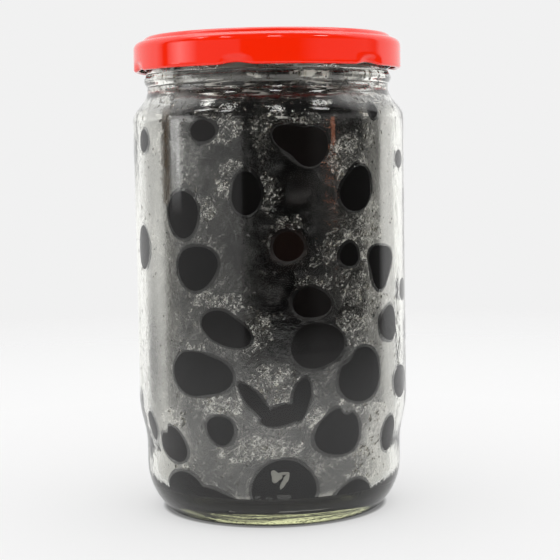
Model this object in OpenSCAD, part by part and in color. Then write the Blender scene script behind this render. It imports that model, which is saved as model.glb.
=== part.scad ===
// A tall glass preserving jar of black olives, closed by a six-lug twist-off lid of lacquered tinplate.
// Millimetres, +Z up. The origin is the centre of the jar's foot, on the surface that it stands on.
// The jar is round, so only the lugs, the threads and the olives tell the front, -Y, from the back.

/* [Jar] */
// Outside diameter of the jar's body
body_d = 86.5; // [84:0.5:120]
// Height of the glass, foot to rim
jar_h = 150.15; // [110:0.05:220]
// Thickness of the body's wall
wall_t = 2.3; // [1.6:0.1:3.2]
// Thickness of the glass under the contents
base_t = 5; // [3:0.25:8]
// Outside diameter of the foot's straight band, above the rounded heel
foot_d = 82; // [76:0.5:84]
// Radius of the rounded heel
heel_r = 20; // [17:0.5:26]
// Height at which the heel ends and the foot's band begins
heel_h = 15; // [10:0.5:16]
// Height at which the foot's band has widened to the full body
flare_top = 36; // [30:1:50]
// Rise of the hollow under the base
push_up = 1.6; // [0.5:0.1:3]
// Height of the foot's straight band, between the heel and the flare
foot_band = 6; // [2:0.5:8]
// Distance from the rim down to the start of the rounded shoulder
shoulder_drop = 25.9; // [25:0.1:36]
// Height of the rounded shoulder
shoulder_h = 9; // [6:0.5:9]

/* [Neck finish] */
// Outside diameter of the neck, without its threads
finish_d = 77.2; // [70:0.2:80]
// Thickness of the glass at the neck
neck_t = 2.7; // [2:0.1:3.5]
// How far the ring under the lid stands out of the neck
bead_out = 0.8; // [0.4:0.1:1.4]
// How far a thread stands out of the neck
thread_out = 1.6; // [1:0.1:2]
// Number of threads, and of the lid's lugs
leads = 6; // [4:1:6]

/* [Lid] */
// Thickness of the lid's sheet
sheet_t = 0.25; // [0.2:0.05:0.5]
// Height of the lid's skirt, shoulder to bottom edge
skirt_h = 9.5; // [8:0.1:10]
// Height of the ring that seals on the rim, above the lid's shoulder
ring_rise = 1.5; // [0.8:0.1:2]
// Radius of the lid's rounded shoulder
lid_round = 2.5; // [1.5:0.1:3]
// Diameter of the curl rolled inside the skirt's bottom edge
curl_d = 1.7; // [1.2:0.1:2]
// Space between the curl and the threads that it passes
curl_clear = 0.6; // [0.3:0.1:1]
// Angle of the first lug, counted from +X
lug_turn = -103; // [-180:1:180]

/* [Contents] */
// Depth of the brine on the glass floor
brine_h = 4.5; // [2:0.5:8]
// Length of a middling olive
olive_l = 20; // [16:0.5:26]
// Depth of the hollows between the olives that press on the glass
hollow = 3.4; // [1:0.1:4]
// Distance from the rim down to the edge of the heap
heap_drop = 16; // [14:0.5:22]
// Height of the heap's middle above its edge
heap_rise = 4; // [2:0.5:6]

/* [Hidden] */
$fn = 96;

body_r = body_d / 2;
foot_r = foot_d / 2;
finish_r = finish_d / 2;
bore_r = finish_r - neck_t;

// The underside: a flat bearing ring round the hollow of the base.
heel_in = foot_r - heel_r;
bear_out = heel_in + sqrt(heel_r * heel_r - heel_h * heel_h);
foot_round = 0.9;
foot_round_h = 0.5;
heel_start = -asin((heel_h - foot_round_h) / heel_r);
bear_w = 3;
bear_in = bear_out - foot_round - bear_w;

// The flare: from the foot's band out to the body.
flare_z = heel_h + foot_band;

// The neck: the shoulder ends in a groove, then come the ring under the lid and the threaded finish.
shoulder_z = jar_h - shoulder_drop;
neck_z = shoulder_z + shoulder_h;
groove_in = 0.2;
bead_z = jar_h - 13.6;
bead_half = 1.8;
rim_round = 1;
rim_inner_round = 0.6;

// Inside of the glass. Its shoulder starts lower and ends higher than the outside one.
floor_z = base_t;
inner_heel = 9;
inner_body_r = body_r - wall_t;
inner_foot_r = foot_r - wall_t - 0.5;
inner_heel_c = [inner_foot_r - inner_heel, floor_z + inner_heel];
inner_flare_z = floor_z + inner_heel + 4;
inner_shoulder_z = shoulder_z - 1;
inner_neck_z = neck_z + 1;

// Threads slope down clockwise. A lug sits under each, past its middle on the high side.
thread_arc = 56;
thread_slope = 7;
thread_half = 0.9;
thread_z = jar_h - 8;
thread_root = 0.6;
lug_lead = 8;
lug_arc = 12;
lug_in = 1.2;
lug_h = 1.3;
lug_up = 0.3;

// The lid grows out from the threads, so that it always passes over them.
curl_r = curl_d / 2;
lid_r = finish_r + thread_out + curl_clear + curl_d;
ring_gap = 0.35;
ring_out = finish_r + ring_gap + sheet_t;
ring_in = bore_r - ring_gap * 2 - sheet_t;
ring_top = jar_h + sheet_t;
lid_shoulder_z = ring_top - ring_rise;
lid_low = lid_shoulder_z - skirt_h;
panel_drop = 2.2;
panel_z = ring_top - panel_drop;
ring_round = 0.3;
ring_lean = 0.6;
ring_foot = 0.2;
button_r = 14;
button_slope = 1.5;
button_rise = 0.6;

// Contents. They stop just short of the glass: the film of brine closes that gap.
brine_gap = 0.1;
olive_gap = 0.35;
brine_z = floor_z + brine_h;
brine_edge = -asin((inner_heel - brine_h) / (inner_heel - brine_gap));
core_r = 24;
heap_z = jar_h - heap_drop;

// Points of one arc: centre, radius, first and last angle, number of steps.
function arc(c, r, a0, a1, n) =
    [for (i = [0:n]) let (a = a0 + (a1 - a0) * i / n) c + r * [cos(a), sin(a)]];
// A soft step from 0 to 1, and a value between a and b.
function soft(t) = let (u = min(1, max(0, t))) u * u * (3 - 2 * u);
function mix(a, b, t) = a + (b - a) * t;

// Radius of the outside of the glass at height z, up to the neck.
function outer_r(z) =
    z < heel_h
        ? heel_in + sqrt(max(0, heel_r * heel_r - pow(heel_h - z, 2)))
    : z < shoulder_z
        ? mix(foot_r, body_r, soft((z - flare_z) / (flare_top - flare_z)))
    : mix(body_r, finish_r - groove_in, soft((z - shoulder_z) / shoulder_h));

// Radius of the inside of the glass at height z.
function inner_r(z) =
    z < inner_heel_c[1]
        ? inner_heel_c[0] + sqrt(max(0, pow(inner_heel, 2) - pow(inner_heel_c[1] - z, 2)))
    : z < inner_shoulder_z
        ? mix(inner_foot_r, inner_body_r, soft((z - inner_flare_z) / (flare_top - inner_flare_z)))
    : mix(inner_body_r, bore_r, soft((z - inner_shoulder_z) / (inner_neck_z - inner_shoulder_z)));

// Heights from z0 to z1 in n equal steps, as points of a profile.
function outer_line(z0, z1, n) = [for (i = [0:n]) let (z = mix(z0, z1, i / n)) [outer_r(z), z]];
function inner_line(z0, z1, n) = [for (i = [0:n]) let (z = mix(z0, z1, i / n)) [inner_r(z), z]];

// Section of the glass: the hollow of the base, the foot, up the outside, over the rim and down inside.
glass_section = concat(
    [for (i = [0:6]) let (r = bear_in * i / 6) [r, push_up * (1 - pow(i / 6, 2))]],
    [[bear_out - foot_round, 0]],
    arc([heel_in, heel_h], heel_r, heel_start, 0, 9),
    outer_line(flare_z, flare_top, 8),
    outer_line(shoulder_z, neck_z, 10),
    [for (i = [0:8]) let (t = i / 4 - 1)
        [finish_r + bead_out * cos(90 * t), bead_z + bead_half * t]],
    arc([finish_r - rim_round, jar_h - rim_round], rim_round, 0, 90, 5),
    arc([bore_r + rim_inner_round, jar_h - rim_inner_round], rim_inner_round, 90, 180, 4),
    inner_line(inner_neck_z, inner_shoulder_z, 10),
    inner_line(flare_top, inner_flare_z, 6),
    arc(inner_heel_c, inner_heel, 0, -90, 12),
    [[0, floor_z]]
);

// One thread: a rounded ridge along an arc, tipped about the line from the axis to its middle.
module thread() {
    translate([0, 0, thread_z])
        rotate([thread_slope, 0, 0])
            rotate([0, 0, -thread_arc / 2])
                rotate_extrude(angle = thread_arc)
                    polygon(concat(
                        [[finish_r - thread_root, -thread_half]],
                        arc([finish_r + thread_out - thread_half, 0], thread_half, -90, 90, 8),
                        [[finish_r - thread_root, thread_half]]
                    ));
}

module jar() {
    color([0.86, 0.9, 0.84, 0.35])
        union() {
            rotate_extrude() polygon(glass_section);
            for (i = [0:leads - 1])
                rotate([0, 0, lug_turn - lug_lead + i * 360 / leads]) thread();
        }
}

// Section of the lid's sheet: along the outside from the middle to the curl, then back inside.
lid_outside = concat(
    [
        [0, panel_z + button_rise],
        [button_r - button_slope, panel_z + button_rise],
        [button_r, panel_z],
        [ring_in - ring_lean * 2, panel_z],
        [ring_in - ring_lean, panel_z + ring_round],
        [ring_in, ring_top - ring_round],
        [ring_in + ring_round, ring_top],
        [ring_out - ring_round, ring_top],
        [ring_out, ring_top - ring_round],
        [ring_out + ring_foot, lid_shoulder_z],
    ],
    arc([lid_r - lid_round, lid_shoulder_z - lid_round], lid_round, 90, 0, 8),
    [[lid_r, lid_low + curl_r]]
);
lid_inside = concat(
    [[lid_r - sheet_t, lid_low + curl_r]],
    arc([lid_r - lid_round, lid_shoulder_z - lid_round], lid_round - sheet_t, 0, 90, 8),
    [
        [ring_out - sheet_t + ring_foot / 2, lid_shoulder_z - sheet_t],
        [ring_out - sheet_t, jar_h],
        [ring_in + sheet_t, jar_h],
        [ring_in - ring_lean + sheet_t, panel_z + ring_round / 2],
        [ring_in - ring_lean * 2, panel_z - sheet_t],
        [button_r, panel_z - sheet_t],
        [button_r - button_slope, panel_z + button_rise - sheet_t],
        [0, panel_z + button_rise - sheet_t],
    ]
);

// A lug: a short stretch of the curl pressed in under a thread.
module lug() {
    rotate([0, 0, -lug_arc / 2])
        rotate_extrude(angle = lug_arc)
            polygon([
                [lid_r - curl_r, lid_low + lug_up],
                [lid_r - curl_r, lid_low + lug_up + lug_h],
                [lid_r - curl_d - lug_in, lid_low + lug_up + lug_h],
                [lid_r - curl_d - lug_in, lid_low + lug_up + lug_h / 2],
            ]);
}

module lid() {
    color([0.93, 0.17, 0.07])
        union() {
            rotate_extrude() polygon(concat(lid_outside, lid_inside));
            rotate_extrude() translate([lid_r - curl_r, lid_low + curl_r]) circle(curl_r);
            for (i = [0:leads - 1])
                rotate([0, 0, lug_turn + i * 360 / leads]) lug();
        }
}

// Height of the nearest olive's back over the hollows, from 0 to 1, on a surface laid out flat.
// Olives lie in staggered rows, each pushed a little out of its place in the row.
row_h = olive_l * 0.8;
function wobble(i, k) = 0.22 * sin(i * 97 + k * 151);
function olive_back(u, v, per_row) =
    let (
        k0 = floor(v / row_h),
        pitch = 1 / per_row,
        near = min([for (k = [k0:k0 + 1]) for (s = [0:1])
            let (
                slide = (k % 2) / 2,
                i = floor(u * per_row - slide) + s,
                home = (i + slide + wobble(i % per_row, k)) * pitch,
                du = (u - home) * per_row * row_h * 1.1,
                dv = v - (k + wobble(k, i % per_row)) * row_h
            )
            (du * du + dv * dv) / pow(olive_l * 0.52, 2)])
    )
    sqrt(max(0, 1 - near));

// Rings of the heap from the floor up: the core in the brine, the wall of olives, the domed top.
n_around = 78;
side_rows = 44;
top_rings = 8;
around_d = (inner_body_r - olive_gap) * 2;
olive_pitch = olive_l * 0.88;
per_row = round(PI * around_d / olive_pitch);
heap_low = brine_z + olive_gap;
ring_step = (heap_z - heap_low) / (side_rows - 1);
end_h = 6;
end_share = 0.35;

top_hollow = 1.36;

// Room for the heap at height z. Over the body it is the less of two rings, as the glass narrows there.
function room_r(z) = z < flare_top ? inner_r(z) : min(inner_r(z), inner_r(z + ring_step));

function side_point(i, z) =
    let (
        back = olive_back(i / n_around, z, per_row),
        from_ends = soft((z - heap_low) / end_h) * soft((heap_z - z) / end_h),
        r = room_r(z) - olive_gap - hollow * (1 - back) * mix(end_share, 1, from_ends),
        a = i * 360 / n_around
    )
    [r * cos(a), r * sin(a), z];

function top_point(i, j) =
    let (
        edge = room_r(heap_z) - olive_gap - hollow,
        t = j / (top_rings + 1),
        a = i * 360 / n_around,
        r = edge * (1 - t),
        x = r * cos(a),
        y = r * sin(a),
        bump = sin(x * 360 / olive_l + 40) * cos(y * 360 / olive_l - 20),
        z = heap_z + heap_rise * (1 - pow(1 - t, 2)) + bump * top_hollow * soft(t * 3)
    )
    [x, y, z];

heap_points = concat(
    [for (z = [floor_z, heap_low]) for (i = [0:n_around - 1])
        let (a = i * 360 / n_around) [core_r * cos(a), core_r * sin(a), z]],
    [for (j = [0:side_rows - 1]) for (i = [0:n_around - 1])
        side_point(i, heap_low + j * ring_step)],
    [for (j = [1:top_rings]) for (i = [0:n_around - 1]) top_point(i, j)],
    [[0, 0, floor_z], [0, 0, heap_z + heap_rise]]
);
heap_rings = 2 + side_rows + top_rings;
last_ring = (heap_rings - 1) * n_around;
heap_faces = concat(
    [for (j = [0:heap_rings - 2]) for (i = [0:n_around - 1])
        let (a = j * n_around + i, b = j * n_around + (i + 1) % n_around)
        [a, a + n_around, b]],
    [for (j = [0:heap_rings - 2]) for (i = [0:n_around - 1])
        let (a = j * n_around + i, b = j * n_around + (i + 1) % n_around)
        [b, a + n_around, b + n_around]],
    [for (i = [0:n_around - 1]) [i, (i + 1) % n_around, heap_rings * n_around]],
    [for (i = [0:n_around - 1])
        [last_ring + (i + 1) % n_around, last_ring + i, heap_rings * n_around + 1]]
);

module olives() {
    color([0.13, 0.12, 0.12])
        polyhedron(points = heap_points, faces = heap_faces, convexity = 8);
}

// The brine fills the bottom of the jar up to its level, round the core of the heap.
module brine() {
    color([0.24, 0.2, 0.13, 0.8])
        rotate_extrude()
            polygon(concat(
                [[core_r + olive_gap, brine_z], [core_r + olive_gap, floor_z]],
                [[inner_heel_c[0], floor_z]],
                arc(inner_heel_c, inner_heel - brine_gap, -90, brine_edge, 8)
            ));
}

jar();
lid();
olives();
brine();
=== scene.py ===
import math

import bpy
import numpy as np
from mathutils import Matrix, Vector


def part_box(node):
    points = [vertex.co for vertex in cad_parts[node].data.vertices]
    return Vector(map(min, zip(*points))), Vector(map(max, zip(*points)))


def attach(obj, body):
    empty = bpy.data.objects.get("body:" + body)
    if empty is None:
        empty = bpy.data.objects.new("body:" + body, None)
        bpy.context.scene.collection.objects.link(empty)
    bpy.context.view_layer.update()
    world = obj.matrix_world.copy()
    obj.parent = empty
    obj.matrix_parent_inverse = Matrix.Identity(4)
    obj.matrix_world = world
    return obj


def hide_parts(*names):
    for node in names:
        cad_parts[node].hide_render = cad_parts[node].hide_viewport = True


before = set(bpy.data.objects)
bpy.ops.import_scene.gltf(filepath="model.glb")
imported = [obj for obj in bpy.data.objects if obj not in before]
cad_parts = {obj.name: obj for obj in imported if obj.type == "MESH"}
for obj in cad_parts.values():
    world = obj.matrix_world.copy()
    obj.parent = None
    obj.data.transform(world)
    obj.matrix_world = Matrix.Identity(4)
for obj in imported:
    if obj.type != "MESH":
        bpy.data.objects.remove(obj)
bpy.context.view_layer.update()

# ---------------------------------------------------------------------------------------------------
# The jar: soda-lime glass, pressed and blown in a mould. The finish has threads for a lug lid, the base
# is thick with a hollow under it, and the walls carry the faint vertical waves that blowing leaves.
# ---------------------------------------------------------------------------------------------------

MM = 0.001
jar_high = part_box("jar")[1]
body_r = jar_high[0] / MM - 0.02
rim_z = jar_high[2] / MM
wall = 2.3
floor_z = 5.0
foot_r = 41.0
heel_r = 20.0
heel_h = 15.0
inner_heel = 9.0
flare_top = 36.0
push_up = 1.6
shoulder_z = rim_z - 25.9
neck_z = shoulder_z + 9.0
neck_r = 38.6
bore_r = 35.9
bead_z = rim_z - 13.6
around = 288

heel_c = np.array([foot_r - heel_r, heel_h])
inner_foot_r = foot_r - wall - 0.5
inner_heel_c = np.array([inner_foot_r - inner_heel, floor_z + inner_heel])


def soft(t):
    """A soft step from 0 to 1: three t squared less two t cubed, with t held between 0 and 1."""
    t = np.clip(t, 0.0, 1.0)
    return t * t * (3 - 2 * t)


def arc(centre, radius, first, last, steps):
    """Points (r, z) on an arc: the centre plus the radius times the cosine and sine of each angle."""
    a = np.radians(np.linspace(first, last, steps + 1))
    return np.stack([centre[0] + radius * np.cos(a), centre[1] + radius * np.sin(a)], -1)


def outside(z):
    """Radius of the outside from the foot's band up: foot, soft flare, body, soft shoulder, neck."""
    flare = foot_r + (body_r - foot_r) * soft((z - heel_h - 6) / (flare_top - heel_h - 6))
    return flare + (neck_r - 0.2 - body_r) * soft((z - shoulder_z) / (neck_z - shoulder_z))


def inside(z):
    """Radius of the inside of the glass: a rounded inner heel, then the outside's form less the wall."""
    z = np.asarray(z, dtype=float)
    heel = inner_heel_c[0] + np.sqrt(np.maximum(0, inner_heel**2 - (inner_heel_c[1] - z) ** 2))
    low = inner_heel_c[1] + 4
    body = inner_foot_r + (body_r - wall - inner_foot_r) * soft((z - low) / (flare_top - low))
    top = (bore_r - body_r + wall) * soft((z - shoulder_z + 1) / (neck_z - shoulder_z + 2))
    return np.where(z < inner_heel_c[1], heel, body + top)


def column(radius, z0, z1, steps):
    """Points (r, z) at equal heights, each at the radius that the function gives there."""
    z = np.linspace(z0, z1, steps + 1)
    return np.stack([radius(z), z], -1)


def grid_mesh(name, rings, caps, slots=None):
    """A mesh through rings of points. The grid closes round each ring, and the cap points close its last
    and then its first ring. rings is (n, m, 3) in millimetres, going up on the outside so that the faces
    look outwards."""
    n, m = rings.shape[:2]
    points = np.concatenate([rings.reshape(-1, 3), np.reshape(caps, (-1, 3))]) * MM
    i, j = np.meshgrid(np.arange(n - 1), np.arange(m), indexing="ij")
    a, b = i * m + j, i * m + (j + 1) % m
    quads = np.stack([a, b, b + m, a + m], -1).reshape(-1, 4)
    k = np.arange(m)
    last = np.stack([(n - 1) * m + k, (n - 1) * m + (k + 1) % m, np.full(m, n * m)], -1)
    first = np.stack([(k + 1) % m, k, np.full(m, n * m + 1)], -1)
    ends = np.concatenate([last, first])[:m * len(caps)]
    corners = np.concatenate([quads.ravel(), ends.ravel()])
    sizes = np.concatenate([np.full(len(quads), 4), np.full(len(ends), 3)])
    return mesh_object(name, points, corners, sizes, slots)


def mesh_object(name, points, corners, sizes, slots=None):
    """A smooth mesh object from points, the corners of all its faces in one row, and each face's size."""
    mesh = bpy.data.meshes.new(name)
    mesh.vertices.add(len(points))
    mesh.vertices.foreach_set("co", points.astype(np.float32).ravel())
    mesh.loops.add(len(corners))
    mesh.loops.foreach_set("vertex_index", corners.astype(np.int32))
    mesh.polygons.add(len(sizes))
    starts = np.concatenate([[0], np.cumsum(sizes)[:-1]])
    mesh.polygons.foreach_set("loop_start", starts.astype(np.int32))
    mesh.update(calc_edges=True)
    mesh.polygons.foreach_set("use_smooth", np.ones(len(sizes), dtype=bool))
    if slots is not None:
        mesh.polygons.foreach_set("material_index", slots.astype(np.int32))
    mesh.validate()
    piece = bpy.data.objects.new(name, mesh)
    bpy.context.scene.collection.objects.link(piece)
    return piece


def turned(profile, count):
    """Rings of points: each profile point (r, z) turned about the axis in count equal steps."""
    a = np.linspace(0, 2 * np.pi, count, endpoint=False)
    r, z = profile[:, :1], profile[:, 1:]
    return np.stack([r * np.cos(a), r * np.sin(a), z + 0 * a], -1)


def waves(angle, z, seed):
    """Low uneven ripples: four cosines over angle and height, of falling strength, between -1 and 1."""
    rng = np.random.default_rng(seed)
    total = 0
    for k, (turns, length) in enumerate([(5, 160), (9, 90), (17, 230), (31, 400)]):
        phase = rng.uniform(0, 2 * np.pi, 2)
        bend = 1.5 * np.sin(z / length * 6.3 + phase[1])
        total = total + np.cos(turns * angle + phase[0] + bend) / (k + 1.5)
    return total / 1.6


def wrapped(angle):
    """The same angle between minus pi and pi."""
    return (angle + np.pi) % (2 * np.pi) - np.pi


leads = 6
lug_turn = math.radians(-103)
thread_turn = lug_turn - math.radians(8)
thread_span = math.radians(28)
thread_tip = math.radians(7)
thread_z = rim_z - 8
thread_out = 1.6
thread_half = 1.25


def threads(angle, z):
    """How far the threads stand out: six ridges of cosine section that rise anticlockwise to soft ends."""
    out = 0
    for k in range(leads):
        along = wrapped(angle - thread_turn - k * 2 * np.pi / leads)
        across = (z - thread_z - neck_r * np.sin(along) * math.tan(thread_tip)) / thread_half
        ridge = np.cos(np.clip(across, -1, 1) * np.pi / 2) ** 0.7
        out = np.maximum(out, ridge * soft((thread_span - np.abs(along)) / 0.07))
    return thread_out * out


def bead(z):
    """The ring under the lid stands out by half a cosine wave of its height."""
    return 0.8 * np.cos(np.clip((z - bead_z) / 1.8, -1, 1) * np.pi / 2)


bear_out = heel_c[0] + math.sqrt(heel_r**2 - heel_h**2)
foot_round = 0.9
bear_in = bear_out - foot_round - 3
heel_start = -math.degrees(math.asin((heel_h - 0.35) / heel_r))
outer_profile = np.concatenate([
    column(lambda r: r, 1.5, bear_in, 10) * [1, 0] + [0, push_up],
    [[bear_out - foot_round, 0.0], [bear_out - foot_round / 3, 0.08]],
    arc(heel_c, heel_r, heel_start, 0, 18),
    column(outside, heel_h + 2, shoulder_z - 2, 44),
    column(outside, shoulder_z - 1, neck_z - 0.5, 20),
    column(lambda z: neck_r + bead(z) - 0.2 * soft((bead_z - z) / 2), neck_z, bead_z + 1.9, 14),
    column(lambda z: neck_r + 0 * z, bead_z + 2.1, rim_z - 1.1, 34),
    arc([neck_r - 1, rim_z - 1], 1, 0, 90, 6),
])
outer_profile[:11, 1] = push_up * (1 - (outer_profile[:11, 0] / bear_in) ** 2)
inner_profile = np.concatenate([
    arc([bore_r + 0.6, rim_z - 0.6], 0.6, 90, 180, 5),
    column(inside, neck_z + 1, shoulder_z - 1, 22),
    column(inside, shoulder_z - 3, inner_heel_c[1] + 2, 50),
    arc(inner_heel_c, inner_heel, 0, -90, 16),
    column(lambda r: r, inner_heel_c[0] - 2, 1.5, 6) * [1, 0] + [0, floor_z],
])
rings = turned(np.concatenate([outer_profile, inner_profile]), around)
turn = np.linspace(0, 2 * np.pi, around, endpoint=False)
directions = np.stack([np.cos(turn), np.sin(turn), 0 * turn], -1)
radius = np.hypot(rings[..., 0], rings[..., 1])
n_out = len(outer_profile)
z_out, z_in = rings[:n_out, :, 2], rings[n_out:, :, 2]
finish_zone = soft((z_out - bead_z - 1.8) / 0.6) * (outer_profile[:, :1] > neck_r - 0.5)
push = np.concatenate([
    finish_zone * threads(turn, z_out) + 0.05 * soft((z_out - 6) / 20) * (waves(turn, z_out, 3) - 1),
    0 * z_in,
])


def inner_wave(angle, z):
    """How far the inside stands in from its true radius: soft ends times one plus the waves. Blown glass
    varies most on the side that no mould touches."""
    return 0.14 * soft((z - 12) / 20) * soft((shoulder_z + 4 - z) / 12) * (1 + waves(angle, z, 5))


push[n_out:] = -inner_wave(turn, z_in)
rings = rings + directions * (push * (radius > 20))[..., None]
jar = grid_mesh("glass_jar", rings, [[0, 0, floor_z], [0, 0, push_up]])


def mark(piece, name, values):
    """Stores one number for each point of the mesh, for a material to read."""
    attribute = piece.data.attributes.new(name, "FLOAT", "POINT")
    attribute.data.foreach_set("value", np.asarray(values, dtype=np.float32).ravel())


mark(jar, "inner_side", np.concatenate([np.repeat(np.arange(len(rings)) >= n_out + 4, around), [1, 0]]))


def linear(colour):
    """An sRGB hex colour as linear red, green, blue and full alpha."""
    value = np.array([int(colour[i:i + 2], 16) for i in (1, 3, 5)]) / 255
    low, high = value / 12.92, ((value + 0.055) / 1.055) ** 2.4
    return (*np.where(value <= 0.04045, low, high), 1.0)


def add(tree, kind, *sources, **values):
    """Adds one node. values sets its inputs, or its properties where a name isn't an input. A source is
    (name of an input, source), or goes to the next input in order. It is a number, an output, or a node,
    which stands for its first output."""
    node = tree.nodes.new("ShaderNode" + kind)
    for key, value in values.items():
        socket = key.replace("_", " ").title().replace("Ior", "IOR")
        if hasattr(node, key):
            setattr(node, key, value)
        else:
            node.inputs[socket].default_value = value
    for order, source in enumerate(sources):
        key, source = source if isinstance(source, tuple) else (order, source)
        if isinstance(source, (int, float)):
            node.inputs[key].default_value = source
        else:
            output = source.outputs[0] if isinstance(source, bpy.types.Node) else source
            tree.links.new(output, node.inputs[key])
    return node


def material(name):
    """A new material, its empty node tree and a shader with its output joined up."""
    made = bpy.data.materials.new(name)
    made.use_nodes = True
    tree = made.node_tree
    tree.nodes.clear()
    shader = add(tree, "BsdfPrincipled")
    output = add(tree, "OutputMaterial", ("Surface", shader.outputs[0]))
    return made, tree, shader, output


# Colourless in a thin wall, yellow-green where the eye looks along the glass. The wetted inside ripples.
made, tree, shader, output = material("soda_lime_glass")
shader.inputs["Base Color"].default_value = linear("#ffffff")
shader.inputs["Transmission Weight"].default_value = 1.0
shader.inputs["Roughness"].default_value = 0.0
shader.inputs["IOR"].default_value = 1.52
depth = add(tree, "VolumeAbsorption", density=22.0)
depth.inputs["Color"].default_value = (0.93, 0.95, 0.60, 1.0)
tree.links.new(depth.outputs[0], output.inputs["Volume"])
place = add(tree, "TexCoord").outputs["Object"]
ripple = add(tree, "TexNoise", ("Vector", place), scale=260.0, detail=3.0, roughness=0.6)
inner_side = add(tree, "Attribute", attribute_name="inner_side")
wetted = add(tree, "Math", ("Value", inner_side.outputs["Fac"]), operation="MULTIPLY")
tree.links.new(ripple.outputs[0], wetted.inputs[1])
relief = add(tree, "Bump", ("Height", wetted.outputs[0]), strength=0.25, distance=0.0004)
tree.links.new(relief.outputs[0], shader.inputs["Normal"])
jar.data.materials.append(made)
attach(jar, "root")
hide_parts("jar")


# ---------------------------------------------------------------------------------------------------
# The lid: a lug twist-off cap, drawn from thin tinplate and stove-lacquered red, white on the inside. Its
# raised ring seals on the rim, and the curl rolled in under the skirt is pinched into six lugs.
# ---------------------------------------------------------------------------------------------------

lid_low_corner, lid_high_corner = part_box("lid")
lid_r = lid_high_corner[0] / MM - 0.02
lid_low = lid_low_corner[2] / MM
ring_top = lid_high_corner[2] / MM
sheet = 0.25
curl_r = 0.85
shoulder_top = ring_top - 1.5
panel_z = ring_top - 2.2
lid_round = 2.5


def cut_corners(points, times):
    """Chaikin's curve: each stretch is cut at a quarter and three quarters, again and again, ends kept."""
    points = np.asarray(points, dtype=float)
    for _ in range(times):
        a, b = points[:-1], points[1:]
        inner = np.stack([0.75 * a + 0.25 * b, 0.25 * a + 0.75 * b], 1).reshape(-1, 2)
        points = np.concatenate([points[:1], inner, points[-1:]])
    return points


top_line = cut_corners([
    [lid_r - lid_round, shoulder_top], [39.9, shoulder_top], [39.6, shoulder_top + 0.1],
    [39.0, ring_top - 0.55], [38.2, ring_top], [37.0, ring_top], [35.5, ring_top], [34.9, ring_top - 0.4],
    [34.5, panel_z + 0.4], [33.7, panel_z], [28.0, panel_z], [16.0, panel_z + 0.05], [14.2, panel_z + 0.1],
    [12.8, panel_z + 0.65], [6.0, panel_z + 0.75], [0.6, panel_z + 0.75],
], 2)
skirt_line = np.concatenate([
    column(lambda z: lid_r + 0 * z, lid_low + curl_r + 0.2, shoulder_top - lid_round - 0.2, 16),
    arc([lid_r - lid_round, shoulder_top - lid_round], lid_round, 0, 88, 12),
])
sheet_top = np.concatenate([skirt_line, top_line])
slope = np.gradient(sheet_top, axis=0)
slope /= np.linalg.norm(slope, axis=1, keepdims=True)
sheet_under = sheet_top + sheet * np.stack([-slope[:, 1], slope[:, 0]], -1)
curl_line = arc([lid_r - curl_r, lid_low + curl_r], curl_r, 200, 360, 16)
lid_line = np.concatenate([sheet_under[::-1], curl_line[:-1], sheet_top])
lid_rings = turned(lid_line, 360)
turn_lid = np.linspace(0, 2 * np.pi, 360, endpoint=False)
nearest_lug = wrapped((turn_lid - lug_turn) * leads) / leads
pinch = np.cos(np.clip(nearest_lug / math.radians(9), -1, 1) * np.pi / 2) ** 2
low_part = soft((lid_low + 3.6 - lid_rings[..., 2]) / 3.2)
pressed_in = 0.95 * pinch * low_part * (lid_line[:, :1] > lid_r - 4)
directions = np.stack([np.cos(turn_lid), np.sin(turn_lid), 0 * turn_lid], -1)
lid_rings = lid_rings - directions * pressed_in[..., None]
lid_rings[..., 2] += 0.75 * pressed_in
inner_rows = np.repeat((np.arange(len(lid_rings) - 1) < len(sheet_under) - 1).astype(int), 360)
lid_slots = np.concatenate([inner_rows, np.zeros(360, int), np.ones(360, int)])
lid = grid_mesh("twist_off_lid", lid_rings, [[0, 0, panel_z + 0.75], [0, 0, panel_z + 0.5]], lid_slots)


def lacquer(name, colour):
    """Stove lacquer on tinplate: an even, glossy coat with the faintest orange peel and a few rub marks."""
    made, tree, shader, _ = material(name)
    place = add(tree, "TexCoord").outputs["Object"]
    cloud = add(tree, "TexNoise", ("Vector", place), scale=60.0, detail=3.0)
    shade = add(tree, "Mix", ("Factor", cloud.outputs[0]), data_type="RGBA")
    shade.inputs["A"].default_value = linear(colour)
    shade.inputs["B"].default_value = tuple(0.96 * np.array(linear(colour)[:3])) + (1.0,)
    tree.links.new(shade.outputs["Result"], shader.inputs["Base Color"])
    peel = add(tree, "TexNoise", ("Vector", place), scale=2600.0, detail=1.0)
    relief = add(tree, "Bump", ("Height", peel.outputs[0]), strength=0.5, distance=0.00004)
    tree.links.new(relief.outputs[0], shader.inputs["Normal"])
    shader.inputs["Roughness"].default_value = 0.4
    shader.inputs["Specular IOR Level"].default_value = 0.0
    shader.inputs["Coat Weight"].default_value = 1.0
    shader.inputs["Coat Roughness"].default_value = 0.03
    return made


lid.data.materials.append(lacquer("red_stove_lacquer", "#f52503"))
lid.data.materials.append(lacquer("white_sealing_lacquer", "#dedcd4"))
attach(lid, "root")
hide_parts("lid")

# ---------------------------------------------------------------------------------------------------
# The olives: ripe black olives, packed almost dry. Those at the wall are squeezed flat on the glass, and
# there the wet skin shows dark. Those at the front are listed one by one, and the rest fill the jar about
# evenly.
# ---------------------------------------------------------------------------------------------------


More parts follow.
